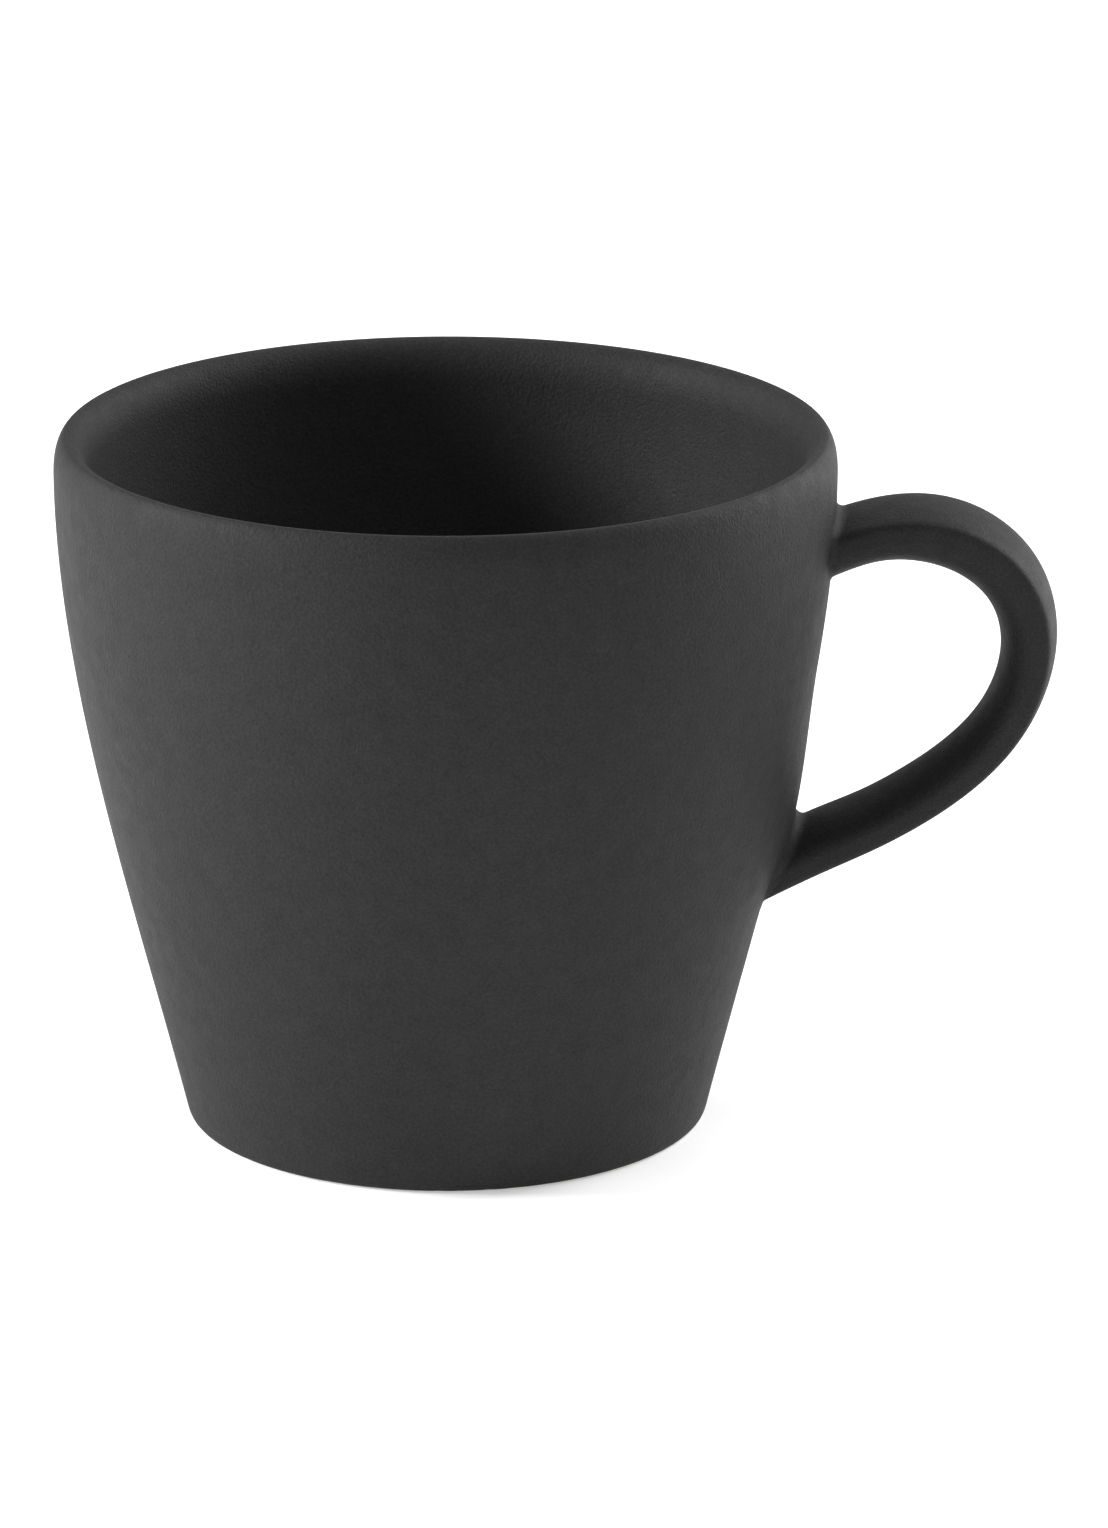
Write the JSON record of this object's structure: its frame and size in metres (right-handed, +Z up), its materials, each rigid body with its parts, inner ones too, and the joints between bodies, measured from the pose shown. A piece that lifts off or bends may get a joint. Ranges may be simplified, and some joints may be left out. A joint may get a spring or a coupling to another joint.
{
  "type": "mug",
  "caption": "Conical matt black ceramic mug with a broad rounded rim, a recessed foot ring and a strap handle on one side.",
  "frame": {"origin": "middle of the bounding box's footprint, on the table that the foot ring stands on; the cup's own axis is the vertical line at x = -0.0131 m", "axes": "+X towards the handle, +Z up out of the mouth, +Y completes a right-handed frame; the XZ plane is the mirror plane"},
  "size_m": [0.118, 0.092, 0.0835],
  "materials": {
    "matt_glaze": "matte"
  },
  "bodies": {
    "root": {"cup_body": "matt_glaze", "handle": "matt_glaze", "upper_slip_joint": "matt_glaze", "lower_slip_joint": "matt_glaze"}
  },
  "joints": []
}
